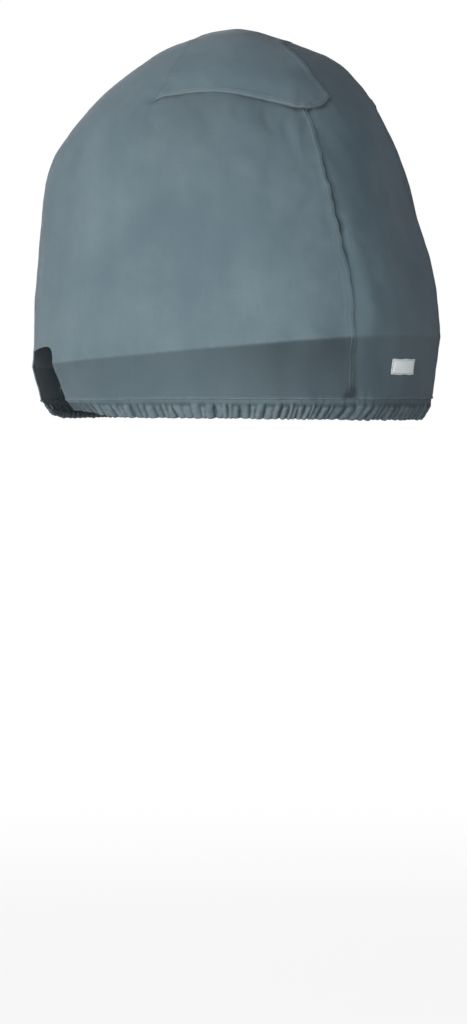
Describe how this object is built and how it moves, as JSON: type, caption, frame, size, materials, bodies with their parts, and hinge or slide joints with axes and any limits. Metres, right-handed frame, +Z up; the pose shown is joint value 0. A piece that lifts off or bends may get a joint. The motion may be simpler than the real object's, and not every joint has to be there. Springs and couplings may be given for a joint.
{
  "type": "outboard motor cover",
  "caption": "Fitted cloth hood that covers the power head of an outboard motor, with a gathered casing round its open foot and an arched notch at one corner.",
  "frame": {"origin": "where the inside of the crown bears on the top of the motor's cowling", "axes": "+X aft, away from the boat; -Y port, the side with the notch and the label; +Z up"},
  "size_m": [0.697, 0.5018, 0.6638],
  "materials": {
    "canvas": "matt woven marine canvas, grey blue",
    "label_cloth": "white woven label, bare"
  },
  "bodies": {
    "root": {"crown_panel": "canvas", "side_panel_port": "canvas", "side_panel_starboard": "canvas", "aft_panel": "canvas", "gathered_casing": "canvas", "label": "label_cloth"}
  },
  "joints": []
}
